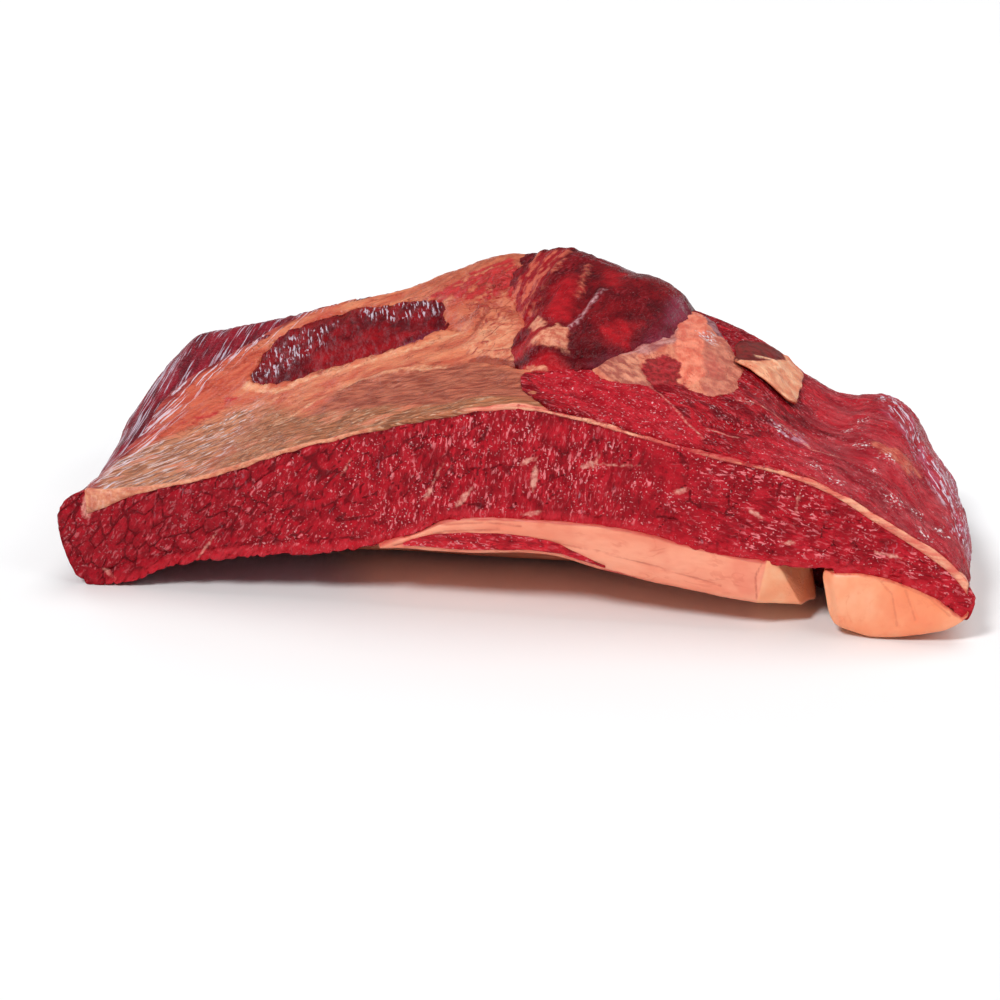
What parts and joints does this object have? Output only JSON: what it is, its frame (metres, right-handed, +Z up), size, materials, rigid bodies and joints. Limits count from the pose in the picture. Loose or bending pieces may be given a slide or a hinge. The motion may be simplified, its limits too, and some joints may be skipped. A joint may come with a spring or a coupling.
{
  "type": "raw beef brisket",
  "caption": "Whole raw boneless brisket lying flat, with a long straight cut through its grain, a tan fat cap, a dark hump of muscle and slabs of pale fat beneath.",
  "frame": {"origin": "middle of the bounding box, on the surface that the brisket lies on", "axes": "+X along the long cut face towards the thick lump of fat, -Y out of the long cut face, +Z up"},
  "size_m": [0.436, 0.2262, 0.1298],
  "materials": {
    "lean": "wet raw muscle, cut across the grain",
    "dark_lean": "wet dark raw muscle with a thin skin",
    "tan_fat": "soft orange and tan fat under a thin dry membrane",
    "pale_fat": "soft creamy pink fat, cut smooth"
  },
  "bodies": {
    "root": {"flat_muscle": "lean", "point_muscle": "lean", "under_streak": "lean", "hump_muscle": "dark_lean", "strip_muscle": "dark_lean", "fat_sheet": "tan_fat", "fat_wedge": "pale_fat", "fat_flap": "pale_fat", "under_fat": "pale_fat", "end_fat": "pale_fat"}
  },
  "joints": []
}
